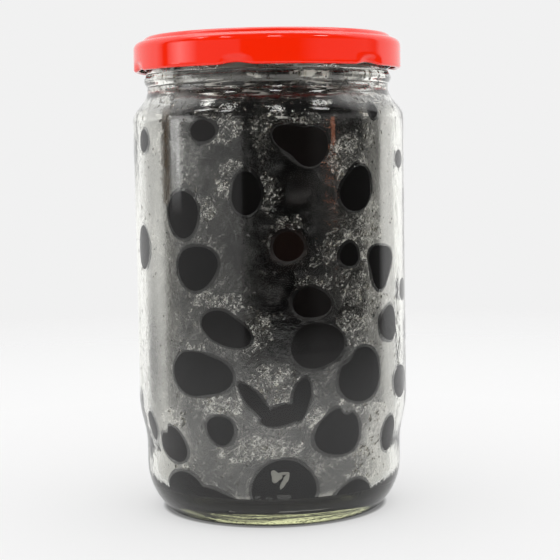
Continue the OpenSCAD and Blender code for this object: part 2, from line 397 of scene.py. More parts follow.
def outlines(table, angles):
    """Radius of each flattened patch at each angle: an ellipse, times one plus two harmonics, less a
    bell-shaped notch. A row of table is width, height, tilt, the two harmonics' strength and phase, and the
    notch's direction, depth (as a share of the radius) and half-width. angles is one row for each patch."""
    w, h, tilt, three, p3, two, p2, at, deep, wide = (c[:, None] for c in table.T)
    a = angles - np.radians(tilt)
    ellipse = 0.5 * w * h / np.sqrt((h * np.cos(a)) ** 2 + (w * np.sin(a)) ** 2)
    lumps = 1 + three * np.cos(3 * a + np.radians(p3)) + two * np.cos(2 * a + np.radians(p2))
    off = wrapped(angles - np.radians(at)) / np.radians(wide)
    return ellipse * lumps * (1 - deep * np.exp(-off**4))


# Angle round from the front, height, then width, height and tilt of the patch, its lumps and its notch.
front = np.array([
    [-28, 120.3, 8.2, 6.3, 0, 0.03, 60, 0.00, 0, 0, 0.00, 30],
    [14.5, 116.0, 17.5, 11.0, -24, 0.14, 180, 0.00, 0, 100, 0.08, 50],
    [39, 102.0, 11.0, 14.0, -27, 0.05, 60, 0.00, 0, 0, 0.00, 30],
    [-9.6, 101.5, 8.6, 13.0, 0, 0.03, 60, 0.00, 0, 0, 0.00, 30],
    [-39, 95.5, 11.5, 14.1, 5, 0.03, 270, 0.00, 0, 0, 0.00, 30],
    [7.3, 85.7, 9.1, 8.8, 0, 0.02, 40, 0.00, 0, 0, 0.00, 30],
    [34.5, 82.5, 6.5, 7.0, 0, 0.06, 120, 0.00, 0, 0, 0.00, 30],
    [53.5, 78.8, 11.6, 13.2, -6, 0.15, 270, 0.00, 0, 0, 0.00, 30],
    [-32.3, 79.5, 14.2, 12.9, 32, 0.05, 20, 0.00, 0, 0, 0.00, 30],
    [16.8, 68.7, 12.0, 8.9, -6, 0.04, 30, 0.00, 0, 0, 0.00, 30],
    [-20, 61.1, 16.5, 9.6, -24, 0.06, 0, 0.00, 0, -140, 0.10, 35],
    [19.1, 55.9, 17.0, 13.4, 8, 0.04, 20, 0.00, 0, 0, 0.00, 30],
    [-32.2, 47.4, 21.0, 13.4, -5, 0.07, 0, 0.00, 0, 105, 0.07, 22],
    [-7.5, 39.5, 15.6, 4.0, -50, 0.04, 0, 0.00, 0, 0, 0.00, 30],
    [11.8, 40.2, 13.2, 5.0, 78, 0.05, 180, 0.00, 0, 0, 0.00, 30],
    [4.0, 35.4, 13.6, 5.6, 14, 0.02, 90, 0.00, 0, 0, 0.00, 30],
    [40, 45.7, 15.5, 17.0, -34, 0.04, 30, 0.00, 0, 128, 0.16, 18],
    [29, 28.9, 15.8, 14.4, -12, 0.06, 90, 0.00, 0, 72, 0.26, 15],
    [-23, 30.6, 8.7, 8.9, 0, 0.05, 270, 0.00, 0, 0, 0.00, 30],
    [-50.5, 24.4, 12.4, 11.0, -14, 0.07, 90, 0.00, 0, 122, 0.26, 17],
    [-45, 9.8, 17.0, 12.4, 0, 0.02, 90, 0.00, 0, 0, 0.00, 30],
    [-30, 7.6, 24.0, 8.6, -12, 0.02, 90, 0.00, 0, 0, 0.00, 30],
    [4.3, 12.4, 20.8, 17.6, 0, 0.03, 90, 0.00, 0, 0, 0.00, 30],
    [39.4, 8.8, 15.0, 8.6, 0, 0.05, 90, 0.00, 0, 0, 0.00, 30],
    [-65, 117.8, 5.6, 6.8, -10, 0.02, 0, 0.00, 0, 0, 0.00, 30],
    [-68, 84.8, 8.2, 13.6, 0, 0.02, 0, 0.00, 0, 0, 0.00, 30],
    [-66, 28.9, 5.4, 8.8, 0, 0.02, 0, 0.00, 0, 0, 0.00, 30],
    [50, 125.3, 3.6, 2.7, 30, 0.02, 0, 0.00, 0, 0, 0.00, 30],
    [72, 110.9, 6.6, 5.2, 0, 0.02, 0, 0.00, 0, 0, 0.00, 30],
    [59, 60.2, 9.8, 10.6, 0, 0.08, 150, 0.00, 0, 0, 0.00, 30],
    [71, 41.1, 11.8, 9.8, 0, 0.02, 0, 0.00, 0, 0, 0.00, 30],
    [61.6, 25.7, 8.2, 11.4, 8, 0.02, 0, 0.00, 0, 0, 0.00, 30],
    [76, 69.8, 6.4, 6.8, 0, 0.02, 0, 0.00, 0, 0, 0.00, 30],
])
wall_r = 41.0
rng = np.random.default_rng(11)


def scatter(count, sector, heights, taken, apart, draws=4000):
    """Dart throwing on the wall: random places (degrees round from the front, height), each at least apart
    from the others and from those taken, measured in millimetres along the glass."""
    spots = [tuple(p) for p in taken]
    found = []
    for spot in rng.uniform([sector[0], heights[0]], [sector[1], heights[1]], (draws, 2)):
        have = np.array(spots)
        across = wrapped(np.radians(have[:, 0] - spot[0])) * wall_r
        if np.hypot(across, (have[:, 1] - spot[1]) * 1.1).min() > apart:
            spots.append(tuple(spot))
            found.append(tuple(spot))
            if len(found) == count:
                break
    return np.array(found)


rest = scatter(60, (84, 276), (9, 124), front[:, :2], 15.5)
n_rest = len(rest)
rest = np.column_stack([
    rest, rng.uniform(7, 17, n_rest), rng.uniform(7, 14, n_rest), rng.uniform(-40, 40, n_rest),
    rng.uniform(0, 0.09, n_rest), rng.uniform(0, 360, n_rest), np.zeros((n_rest, 2)),
    rng.uniform(40, 140, n_rest), rng.choice([0, 0, 0.2], n_rest), rng.uniform(18, 40, n_rest),
])
pressed = np.concatenate([front, rest])
n_all = len(pressed)
pressed_count = (15, 40)
loose_count = (12, 20)
second = scatter(150, (-180, 180), (12, 121), pressed[:, :2], 9.6)
n_second = len(second)
flat = 4


def olive_grid(places, patch, size, thick, behind, n_rings, n_turns, reach):
    """Olives as rings of points round the line from the axis through each. A ring first grows over the
    flat patch, then follows a quarter turn out to the olive's own outline and another quarter turn back
    to its far end. The grid wraps round the jar, so a patch lies on the glass wherever it is."""
    angles = np.linspace(0, 2 * np.pi, n_turns, endpoint=False)
    edge = outlines(patch, angles[None])[:, None, :]
    full = np.maximum(edge * 1.04 + 2.2, outlines(size, angles[None])[:, None, :])
    t = np.concatenate([np.linspace(0.12, 1, flat), np.ones(n_rings - flat)])[None, :, None]
    a = np.concatenate([np.zeros(flat), np.linspace(0, np.pi * 0.96, n_rings - flat + 1)[1:]])[None, :, None]
    out = np.where(a < np.pi / 2, edge * t + (full - edge) * np.sin(a), full * np.sin(a))
    deep = thick[:, None, None] * (1 - np.cos(a)) + behind[:, None, None] + 0 * out
    across, up = out * np.cos(angles), out * np.sin(angles)
    height = np.clip(places[:, 1][:, None, None] + up, floor_z + 0.2, None)
    angle = np.radians(places[:, 0] - 90)[:, None, None] + across / wall_r
    r = inside(height) - inner_wave(angle, height) + reach - deep
    return np.stack([r * np.cos(angle), r * np.sin(angle), height], -1)


def many(name, grids, flats=()):
    """One mesh of many closed forms. Each grid is (count, rings, turns, 3). A cap point closes each end,
    at the middle of its ring. The faces inside ring number flats of a grid take the second material."""
    points, corners, sizes, slots, start = [], [], [], [], 0
    for grid, flat_rings in zip(grids, flats or [0] * len(grids)):
        count, n, m = grid.shape[:3]
        caps = np.stack([grid[:, 0].mean(1), grid[:, -1].mean(1)], 1)
        block = np.concatenate([grid.reshape(count, n * m, 3), caps], 1)
        i, j = np.meshgrid(np.arange(n - 1), np.arange(m), indexing="ij")
        a, b = (i * m + j).ravel(), (i * m + (j + 1) % m).ravel()
        quads = np.stack([a, a + m, b + m, b], -1).ravel()
        k = np.arange(m)
        low = np.stack([k, (k + 1) % m, np.full(m, n * m)], -1).ravel()
        high = np.stack([(n - 1) * m + (k + 1) % m, (n - 1) * m + k, np.full(m, n * m + 1)], -1).ravel()
        offset = start + np.arange(count)[:, None] * (n * m + 2)
        corners.append((np.concatenate([quads, low, high])[None] + offset).ravel())
        sizes.append(np.tile(np.concatenate([np.full((n - 1) * m, 4), np.full(2 * m, 3)]), count))
        flat_low = np.full(m, int(flat_rings > 0))
        flat_sides = (i.ravel() < flat_rings - 1).astype(int)
        slots.append(np.tile(np.concatenate([flat_sides, flat_low, 0 * k]), count))
        points.append(block.reshape(-1, 3))
        start += count * (n * m + 2)
    points, corners, sizes, slots = (np.concatenate(part) for part in (points, corners, sizes, slots))
    return mesh_object(name, points * MM, corners, sizes, slots)


patches = pressed[:, 2:]
body = patches.copy()
body[:, 0] = np.maximum(patches[:, 0] + 3, 15) + rng.uniform(0, 1.5, n_all)
body[:, 1] = np.maximum(patches[:, 1] + 3, 15) + rng.uniform(0, 1.5, n_all)
body[:, 3:] = [0.03, 0, 0, 0, 0, 0, 30]
pressed_grid = olive_grid(
    pressed[:, :2], patches, body, rng.uniform(6.5, 8, n_all), np.zeros(n_all), *pressed_count, 0.06)
loose = np.column_stack([
    rng.uniform(15, 19, n_second), rng.uniform(13, 16, n_second), rng.uniform(-90, 90, n_second),
    np.full(n_second, 0.03), rng.uniform(0, 360, n_second), np.zeros((n_second, 5)) + [0, 0, 0, 0, 30],
])
speck = np.column_stack([np.ones((n_second, 2)), np.zeros((n_second, 8)) + [0, 0, 0, 0, 0, 0, 0, 30]])
loose_grid = olive_grid(
    second, speck, loose, rng.uniform(6.5, 7.5, n_second), rng.uniform(0.6, 3.0, n_second), *loose_count, 0)
olives = many("black_olives", [pressed_grid, loose_grid], (flat, 0))
ripeness = rng.uniform(0, 1, n_all + n_second) ** 3
ripeness[:len(front)] *= 0.3
ripeness[5] = 0.9
mark(olives, "browning", np.concatenate([
    np.repeat(ripeness[:n_all], math.prod(pressed_count) + 2),
    np.repeat(ripeness[n_all:], math.prod(loose_count) + 2)]))


def olive_skin(name, gloss, dimpled):
    """Ripe olive skin, wet with brine: near black, brown where an olive is less ripe, finely dimpled."""
    made, tree, shader, _ = material(name)
    place = add(tree, "TexCoord").outputs["Object"]
    brown = add(tree, "Attribute", attribute_name="browning")
    shade = add(tree, "ValToRGB", ("Fac", brown.outputs["Fac"]))
    shade.color_ramp.elements[0].color = linear("#131212")
    shade.color_ramp.elements[1].color = linear("#1d1310")
    tree.links.new(shade.outputs[0], shader.inputs["Base Color"])
    dimples = add(tree, "TexNoise", ("Vector", place), scale=500.0, detail=4.0)
    relief = add(tree, "Bump", ("Height", dimples.outputs[0]), strength=dimpled, distance=0.0003)
    if dimpled:
        tree.links.new(relief.outputs[0], shader.inputs["Normal"])
    shader.inputs["Roughness"].default_value = 0.2
    shader.inputs["IOR"].default_value = 1.4
    shader.inputs["Specular IOR Level"].default_value = gloss
    return made


olives.data.materials.append(olive_skin("wet_olive_skin", 0.5, 0.25))
olives.data.materials.append(olive_skin("olive_skin_on_glass", 0.0, 0))
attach(olives, "root")
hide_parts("olives")

# ---------------------------------------------------------------------------------------------------
# The core of the heap: the olives further in, which only show as darkness between the outer ones.
# ---------------------------------------------------------------------------------------------------

core_top = 137.5
core_low = floor_z + 0.3
core_around = 96
core_line = np.concatenate([
    column(lambda r: r, 1.0, 24.0, 6) * [1, 0] + [0, core_low],
    column(lambda z: 31 + 0.9 * np.sin(z * 0.7), floor_z + 5, 124, 60),
    column(lambda z: 31 - 0.22 * (z - 124) ** 1.5, 125, 134, 8),
    column(lambda r: r, 22.0, 1.0, 6) * [1, 0] + [0, core_top],
])
core_rings = turned(core_line, core_around)
core_turn = np.linspace(0, 2 * np.pi, core_around, endpoint=False)
swell = 1.2 * np.sin(11 * core_turn + 3 * np.sin(core_rings[..., 2] / 9)) * (core_rings[..., 2] > 8)
core_rings[..., 0] += swell * np.cos(core_turn) * (np.hypot(core_rings[..., 0], core_rings[..., 1]) > 20)
core_rings[..., 1] += swell * np.sin(core_turn) * (np.hypot(core_rings[..., 0], core_rings[..., 1]) > 20)
core = grid_mesh("olive_core", core_rings, [[0, 0, core_top], [0, 0, core_low]])

# Whole olives lie on top of the core, under the lid: an ellipsoid, turned level and set down in a spiral.
n_top = 14
top_reach = 27.0
olive_half = np.array([9.5, 7.2, 7.2])
top_at = rng.uniform(0, 2 * np.pi, n_top) + np.arange(n_top) * 2.4
top_from = np.sqrt(np.arange(n_top) / n_top) * top_reach
top_turn, top_ring = np.meshgrid(
    np.linspace(0, 2 * np.pi, 24, endpoint=False), np.linspace(0.15, np.pi - 0.15, 14))
long_x = np.sin(top_ring) * np.cos(top_turn) * olive_half[0]
short_y = np.sin(top_ring) * np.sin(top_turn) * olive_half[1]
lying = rng.uniform(0, np.pi, n_top)[:, None, None]
top_z = 132.0 - (top_from / top_reach) ** 2 * 2.2 + rng.uniform(-0.8, 0.8, n_top)
top_grid = np.stack([
    long_x * np.cos(lying) - short_y * np.sin(lying) + (top_from * np.cos(top_at))[:, None, None],
    long_x * np.sin(lying) + short_y * np.cos(lying) + (top_from * np.sin(top_at))[:, None, None],
    -np.cos(top_ring) * olive_half[2] + top_z[:, None, None]], -1)
top_olives = many("top_olives", [top_grid])
top_olives.data.materials.append(olives.data.materials[0])
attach(top_olives, "root")

core.data.materials.append(olive_skin("shaded_olive_skin", 0.2, 0.25))
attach(core, "root")

# ---------------------------------------------------------------------------------------------------
# The brine: a little dark liquid left on the floor of the jar. It wets the glass, so no air gap shows.
# ---------------------------------------------------------------------------------------------------

brine_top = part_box("brine")[1][2] / MM
n_low = 31
brine_edge = -math.degrees(math.asin((inner_heel_c[1] - brine_top) / inner_heel))
brine_line = np.concatenate([
    column(lambda r: r, 1.0, inner_heel_c[0] + 2, 30) * [1, 0] + [0, floor_z],
    arc(inner_heel_c, inner_heel + 0.05, -64, brine_edge, 10),
    [[inside(brine_top) - 0.4, brine_top - 0.15], [inside(brine_top) - 1.5, brine_top - 0.5]],
    column(lambda r: r, inside(brine_top) - 3, 1.0, 8) * [1, 0] + [0, brine_top - 0.6],
])
brine_rings = turned(brine_line, 144)
low_rows = brine_rings[:n_low]
streaks = np.sin(low_rows[..., 1] * 0.8 + 1.5 * np.sin(low_rows[..., 0] * 0.2)) + low_rows[..., 0] / 22 - 0.1
low_rows[..., 2] = floor_z - 0.03 + 0.6 * soft(streaks * 2)
brine = grid_mesh("brine_pool", brine_rings, [[0, 0, brine_top - 0.6], [0, 0, floor_z + 0.3]])
# Cloudy with pulp, so it is nearly black and smooth, and mirrors what is round it.
made, tree, shader, _ = material("dark_brine")
shader.inputs["Base Color"].default_value = linear("#1d1b17")
shader.inputs["Roughness"].default_value = 0.05
shader.inputs["IOR"].default_value = 1.36
brine.data.materials.append(made)
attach(brine, "root")
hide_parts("brine")

# ---------------------------------------------------------------------------------------------------
# The film: brine and olive pulp smeared over the inside of the glass as the jar was filled and rolled. It
# has dried to streaks and froth, thickest over each olive, and draws back in a clear ring where one touches.
# ---------------------------------------------------------------------------------------------------

# Froth caught between olives: angle round from the front, height, half-width, half-height, strength.
froth = np.array([
    [0.5, 44.8, 6.5, 6.5, 1.0],
    [-24, 38.0, 8.0, 2.6, 0.9],
    [-47, 33.5, 6.0, 2.4, 0.8],
    [2, 26.0, 12.0, 2.0, 0.7],
    [47, 20.0, 7.5, 7.0, 0.9],
    [-6, 61.0, 4.5, 6.0, 1.0],
    [-20, 121.0, 7.0, 4.5, 0.9],
    [8.5, 92.6, 3.6, 2.4, 1.0],
    [28.5, 86.0, 5.0, 5.0, 1.0],
    [42, 85.5, 3.6, 3.0, 1.0],
    [34, 111.0, 5.5, 6.5, 1.0],
    [6, 122.5, 9.0, 2.8, 0.8],
    [42, 69.0, 8.0, 8.5, 0.8],
    [51, 33.0, 4.0, 4.0, 0.8],
    [-17, 106.0, 4.0, 6.0, 0.6],
    [41, 36.5, 4.0, 3.0, 0.7],
    [-1, 102.0, 3.2, 6.0, 0.6],
    [-3, 119.0, 3.4, 6.5, 0.8],
    [2, 86.5, 2.6, 3.6, 0.7],
    [46, 94.0, 5.0, 7.0, 0.7],
    [-28, 96.0, 4.0, 4.0, 0.6],
    [-26, 70.0, 8.0, 2.5, 0.5],
    [32, 62.0, 3.0, 4.0, 0.7],
    [43, 118.0, 6.0, 5.0, 0.6],
    [-50, 116.0, 3.0, 10.0, 0.5],
    [12, 33.0, 9.0, 3.0, 0.5],
    [-14, 24.0, 8.0, 5.0, 0.5],
    [20, 80.0, 4.0, 7.0, 0.4],
])


def near_olives(turn_at, height):
    """For places on the wall (degrees, mm): the distance to the nearest patch's edge, negative inside it, and
    how much froth lies there, a sum of bells over the top edge of each patch and on the spots of froth."""
    nearest = np.full(turn_at.shape, 50.0)
    foam = np.zeros(turn_at.shape)
    crest = 0.25 + 0.5 * np.random.default_rng(5).uniform(0, 1, n_all) ** 2
    for row, strength in zip(pressed, crest):
        across = wrapped(np.radians(turn_at - row[0])) * wall_r
        up = height - row[1]
        there = np.hypot(across, up) < 30
        a = np.arctan2(up[there], across[there])
        edge = outlines(row[None, 2:], a[None])[0]
        nearest[there] = np.minimum(nearest[there], np.hypot(across[there], up[there]) - edge)
        over = (up - 0.5 * row[3] - 1.8) / 1.6
        foam += strength * np.exp(-over**2 - (across / (0.42 * row[2] + 1)) ** 2)
    for at, z, wide, tall, strength in froth:
        across = wrapped(np.radians(turn_at - at)) * wall_r
        foam += strength * np.exp(-(((across / wide) ** 2 + ((height - z) / tall) ** 2) ** 1.5))
    return nearest, foam


film_z = np.linspace(floor_z + 1.2, bead_z + 2.4, 196)
film_turn = np.linspace(0, 2 * np.pi, 440, endpoint=False)
film_angle, film_height = np.meshgrid(film_turn, film_z)
film_r = inside(film_height) - inner_wave(film_angle, film_height) - 0.13
film_rings = np.stack([film_r * np.cos(film_angle), film_r * np.sin(film_angle), film_height], -1)
film = grid_mesh("brine_film", film_rings, [])
from_front = np.degrees(wrapped(film_angle + np.pi / 2))
nearest, foam = near_olives(from_front, film_height)
drained = np.exp(-(((from_front - 9) / 20) ** 2)) * soft((film_height - 44) / 14)
washed = np.exp(-(((from_front + 63) / 10) ** 2) - ((film_height - 50) / 24) ** 2)
smeared = (0.75 + 0.25 * soft((60 - film_height) / 40)) * soft((129 - film_height) / 8)
smeared *= (1 - 0.92 * drained) * (1 - 0.85 * washed)
at_neck = soft((54 - np.abs(from_front)) / 16) * soft((film_height - 126) / 4) * soft((139 - film_height) / 2)
smeared = np.maximum(smeared, 0.75 * at_neck)
stain_from, stain_half, stain_low, stain_high = -48.5, 3.0, 92, 129
stain_side = np.exp(-(((from_front - stain_from) / stain_half) ** 2))
stain_ends = soft((film_height - stain_low) / 12) * soft((stain_high - film_height) / 3)
mark(film, "stain", stain_side * stain_ends)
mark(film, "from_olive", nearest)
mark(film, "froth", foam)
mark(film, "smeared", smeared)
mark(film, "neck", soft((film_height - 121) / 4) * soft((bead_z + 2 - film_height) / 2))

# Clear or smoke-grey where it is thin, and white where air and pulp thicken it to froth. A noise scale of
# 300 gives forms about 3.3 mm across. Seen at a slant the layer is thicker, so it covers more; its colour
# is also painted paler there, a painted sheen. Bright specks and streaks in it are painted glints.
made, tree, shader, _ = material("dried_brine_and_painted_highlights")
place = add(tree, "TexCoord").outputs["Object"]
from_olive, froth_here, smeared_here, neck_here, stain_here = (
    add(tree, "Attribute", attribute_name=name).outputs["Fac"]
    for name in ("from_olive", "froth", "smeared", "neck", "stain"))


def lines_at(source, level, half_width):
    """Thin lines where the source passes a level: one less its distance from it over the half-width."""
    off = add(tree, "Math", source, level, operation="SUBTRACT")
    return add(tree, "MapRange", add(tree, "Math", off, operation="ABSOLUTE"), 0.0, half_width, 1.0, 0.0)


bent = add(tree, "TexNoise", ("Vector", place), scale=300.0, detail=2.0)
warped = add(tree, "VectorMath", bent.outputs["Color"], operation="MULTIPLY_ADD")
warped.inputs[1].default_value = (0.0022, 0.0022, 0.0022)
tree.links.new(place, warped.inputs[2])
brushed = add(tree, "Mapping", place, vector_type="TEXTURE")
brushed.inputs["Rotation"].default_value = (0.2, 0.7, 0.3)
brushed.inputs["Scale"].default_value = (1, 1, 5)
level = add(tree, "Mapping", place, vector_type="TEXTURE")
level.inputs["Scale"].default_value = (9, 9, 1)
neck_streak_noise = add(tree, "TexNoise", ("Vector", level), scale=1250.0, detail=4.0, distortion=0.6)
bits = add(tree, "TexNoise", ("Vector", place), scale=650.0, detail=1.0)
blots = add(tree, "TexNoise", ("Vector", place), scale=85.0, detail=4.0, distortion=0.8)
strokes = add(tree, "TexNoise", ("Vector", brushed), scale=520.0, detail=4.0, distortion=0.9)
folds = add(tree, "TexNoise", ("Vector", place), scale=210.0, detail=4.0, distortion=2.4)
glint_noise = add(tree, "TexNoise", ("Vector", place), scale=1300.0, detail=3.0, distortion=1.0)
strands = add(tree, "TexNoise", ("Vector", place), scale=430.0, detail=2.0, distortion=2.2)
cells = add(tree, "TexVoronoi", ("Vector", warped), feature="DISTANCE_TO_EDGE", scale=560.0)
large_cells = add(tree, "TexVoronoi", ("Vector", warped), feature="DISTANCE_TO_EDGE", scale=270.0)
blot = add(tree, "MapRange", blots, 0.42, 0.58)
stroke = add(tree, "MapRange", strokes, 0.48, 0.6)
fold = lines_at(folds, 0.5, 0.02)
strand = lines_at(strands, 0.5, 0.022)
# Painted glints: sparse bright specks that make the film pale and dense in place of highlights.
painted_glints = add(tree, "MapRange", glint_noise, 0.59, 0.66)
# Painted glints at the neck: level bright streaks painted into the film where the wet neck would show
# highlights.
painted_neck_glints = add(tree, "Math", add(tree, "MapRange", neck_streak_noise, 0.56, 0.63), neck_here, operation="MULTIPLY")
bit = add(tree, "MapRange", bits, 0.73, 0.74)

# Froth: the walls of small bubbles and large ones and strands, inside a ragged outline, with painted glints:
# bright specks painted into the colour where froth would catch the light.
small_walls = add(tree, "MapRange", cells.outputs["Distance"], 0.01, 0.07, 1.0, 0.0)
small_walls = add(tree, "Math", small_walls, stroke, operation="MULTIPLY")
large_walls = add(tree, "MapRange", large_cells.outputs["Distance"], 0.01, 0.04, 1.0, 0.0)
large_walls = add(tree, "Math", large_walls, blot, operation="MULTIPLY")
walls = add(tree, "Math", small_walls, large_walls, operation="ADD")
wander = add(tree, "Math", blots, folds, operation="ADD")
wander = add(tree, "Math", wander, 1.0, operation="SUBTRACT")
wander = add(tree, "Math", wander, 1.3, operation="MULTIPLY")
foam_level = add(tree, "Math", froth_here, wander, operation="ADD")
frothy = add(tree, "MapRange", foam_level, 0.3, 0.5)
outline = lines_at(foam_level, 0.4, 0.05)
outline_part = add(tree, "Math", stroke, 0.45, operation="MULTIPLY")
outline = add(tree, "Math", outline, outline_part, operation="MULTIPLY")
strand_part = add(tree, "Math", stroke, 0.25, operation="ADD")
strand_part = add(tree, "Math", strand, strand_part, operation="MULTIPLY")
inside_froth = add(tree, "Math", walls, 0.3, operation="MULTIPLY")
inside_froth = add(tree, "Math", inside_froth, strand_part, operation="ADD")
inside_froth = add(tree, "Math", inside_froth, 0.06, operation="ADD")
glint_part = add(tree, "Math", painted_glints, 0.95, operation="MULTIPLY")
inside_froth = add(tree, "Math", inside_froth, glint_part, operation="ADD")
patchy = add(tree, "MapRange", bent, 0.4, 0.62, 0.35, 1.25)
inside_froth = add(tree, "Math", inside_froth, patchy, operation="MULTIPLY")

# Between the froth: hairs near each olive, lines that follow its edge, loose strands, painted glints along
# the folds, and painted glints in level streaks at the neck.
halo = add(tree, "MapRange", from_olive, 1.0, 5.5, 1.0, 0.0)
halo = add(tree, "Math", halo, 0.3, operation="MULTIPLY")
halo = add(tree, "Math", halo, 0.06, operation="ADD")
hairs = add(tree, "Math", add(tree, "Math", strand, fold, operation="ADD"), halo, operation="MULTIPLY")
gap_far = add(tree, "Math", blots, 8.0, operation="MULTIPLY")
gap_far = add(tree, "Math", from_olive, gap_far, operation="ADD")
edge_lines = lines_at(add(tree, "Math", gap_far, 2.3, operation="MODULO"), 1.15, 0.2)
near_edge = add(tree, "MapRange", from_olive, 9.0, 4.0)
broken = add(tree, "MapRange", strands, 0.46, 0.56)
neck_glint_patches = add(tree, "MapRange", blots, 0.42, 0.56)
froth_and_glints = add(tree, "Math", frothy, inside_froth, operation="MULTIPLY")
froth_and_glints = add(tree, "Math", froth_and_glints, outline, operation="ADD")
for share, factors in [
        (1.0, [hairs, stroke, smeared_here]),
        (0.22, [edge_lines, near_edge, broken, smeared_here]),
        (0.12, [strand, blot]),
        # painted glints along the folds
        (0.3, [painted_glints, fold]),
        (0.9, [painted_neck_glints, neck_glint_patches])]:
    part = factors[0]
    for factor in factors[1:]:
        part = add(tree, "Math", part, factor, operation="MULTIPLY")
    part = add(tree, "Math", part, share, operation="MULTIPLY")
    froth_and_glints = add(tree, "Math", froth_and_glints, part, operation="ADD")

# The thin smear: brush marks and folds, strongest in the blots.
fold_part = add(tree, "Math", fold, 0.22, operation="MULTIPLY")
marked = add(tree, "Math", add(tree, "Math", stroke, 0.1, operation="MULTIPLY"), fold_part, operation="ADD")
marked = add(tree, "Math", add(tree, "Math", blot, 0.15, operation="ADD"), marked, operation="MULTIPLY")
thin = add(tree, "Math", 0.005, add(tree, "Math", blot, 0.06, operation="MULTIPLY"), operation="ADD")
thin = add(tree, "Math", thin, marked, operation="ADD")
thin = add(tree, "Math", thin, smeared_here, operation="MULTIPLY")

# The clear ring round each olive, with a pale rim, and how far the layer lies at a slant to the eye.
gap = add(tree, "Math", add(tree, "Math", blots, 0.5, operation="SUBTRACT"), 2.6, operation="MULTIPLY")
gap = add(tree, "Math", from_olive, gap, operation="ADD")
past_ring = add(tree, "MapRange", gap, 0.8, 1.3)
rim_end = add(tree, "MapRange", gap, 1.1, 1.6, 1.0, 0.0)
rim = add(tree, "Math", add(tree, "MapRange", gap, 0.6, 1.0), rim_end, operation="MULTIPLY")
facing = add(tree, "LayerWeight", blend=0.5).outputs["Facing"]
square_on = add(tree, "Math", 1.0, facing, operation="SUBTRACT")
slant = add(tree, "Math", 1.0, add(tree, "Math", square_on, 0.08, operation="MAXIMUM"), operation="DIVIDE")

# The brown stain where brine ran down and dried, with ragged sides.
ragged = add(tree, "Math", add(tree, "Math", strokes, 0.5, operation="SUBTRACT"), 1.6, operation="MULTIPLY")
stain = add(tree, "MapRange", add(tree, "Math", stain_here, ragged, operation="ADD"), 0.3, 0.6)
stain = add(tree, "Math", stain, add(tree, "MapRange", stain_here, 0.02, 0.2), operation="MULTIPLY")

# How much light gets through: the clear share of the layer, to the power of its depth along the eye's line.
cover = add(tree, "Math", smeared_here, 0.75, operation="MULTIPLY")
cover = add(tree, "Math", cover, froth_and_glints, operation="ADD")
cover = add(tree, "Math", past_ring, cover, operation="MULTIPLY")
cover = add(tree, "Math", cover, bit, operation="MAXIMUM")
cover = add(tree, "Math", cover, add(tree, "Math", stain, 0.85, operation="MULTIPLY"), operation="MAXIMUM")
clear_share = add(tree, "Math", 1.0, cover, operation="SUBTRACT")
clear_share = add(tree, "Math", clear_share, 0.02, operation="MAXIMUM")
clear_share = add(tree, "Math", clear_share, slant, operation="POWER")
alpha = add(tree, "Math", 1.0, clear_share, operation="SUBTRACT")
tree.links.new(alpha.outputs[0], shader.inputs["Alpha"])

# How pale it is: froth with its painted glints, smear, a painted sheen that grows where the layer is seen
# at a slant, and each olive's rim. Bits of pulp stay dark.
pale = add(tree, "Math", froth_and_glints, thin, operation="ADD")
# Painted sheen: paler colour where the layer is seen at a slant.
pale = add(tree, "Math", pale, add(tree, "MapRange", slant, 1.42, 2.05, 0.0, 0.64), operation="ADD")
pale = add(tree, "Math", pale, add(tree, "Math", rim, 0.07, operation="MULTIPLY"), operation="ADD")
pale = add(tree, "Math", pale, add(tree, "Math", 1.0, bit, operation="SUBTRACT"), operation="MULTIPLY")
pale = add(tree, "Math", pale, 1.0, operation="MINIMUM")
tone = add(tree, "Mix", ("Factor", pale), data_type="RGBA")
tone.inputs["A"].default_value = linear("#1d1a19")
tone.inputs["B"].default_value = linear("#eceae4")
stained = add(tree, "Mix", ("Factor", stain), ("A", tone.outputs["Result"]), data_type="RGBA")
stained.inputs["B"].default_value = linear("#4a3820")
tree.links.new(stained.outputs["Result"], shader.inputs["Base Color"])
uneven = add(tree, "Math", strokes, 0.5, operation="MULTIPLY")
uneven = add(tree, "Math", folds, uneven, operation="ADD")
relief = add(tree, "Bump", ("Height", uneven), strength=0.35, distance=0.0004)
tree.links.new(relief.outputs[0], shader.inputs["Normal"])
shader.inputs["Roughness"].default_value = 0.1
shader.inputs["IOR"].default_value = 1.8
film.data.materials.append(made)
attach(film, "root")

# ---------------------------------------------------------------------------------------------------
# The scrap: a torn bit of pale skin caught between the glass and the lowest olive at the front.
# ---------------------------------------------------------------------------------------------------

scraps = np.array([
    [0.7, 16.4, 3.0, 3.8, 25, 0.22, 60, 0.05, 0, 0, 0.00, 30],
    [4.7, 15.2, 5.6, 1.5, 58, 0.14, 200, 0.00, 0, 0, 0.00, 30],
    [3.8, 17.3, 4.4, 0.9, 4, 0.05, 90, 0.00, 0, 0, 0.00, 30],
])
scrap_size = scraps[:, 2:] * ([1.02] * 2 + [1] * 8)
scrap_turns = np.linspace(0, 2 * np.pi, 24, endpoint=False)
scrap_grow = np.array([0.15, 0.6, 1.0, 0.98, 0.5])[:, None]
scrap_edge = outlines(scrap_size, scrap_turns[None])[:, None, :] * scrap_grow
scrap_deep = np.array([-0.12, -0.12, -0.1, 0.1, 0.15])[:, None] + 0 * scrap_edge
scrap_height = scraps[:, 1][:, None, None] + scrap_edge * np.sin(scrap_turns)
scrap_angle = np.radians(scraps[:, 0] - 90)[:, None, None] + scrap_edge * np.cos(scrap_turns) / 40.0
scrap_r = inside(scrap_height) - inner_wave(scrap_angle, scrap_height) - scrap_deep
scrap = many("skin_scrap", [np.stack([
    scrap_r * np.cos(scrap_angle), scrap_r * np.sin(scrap_angle), scrap_height], -1)])
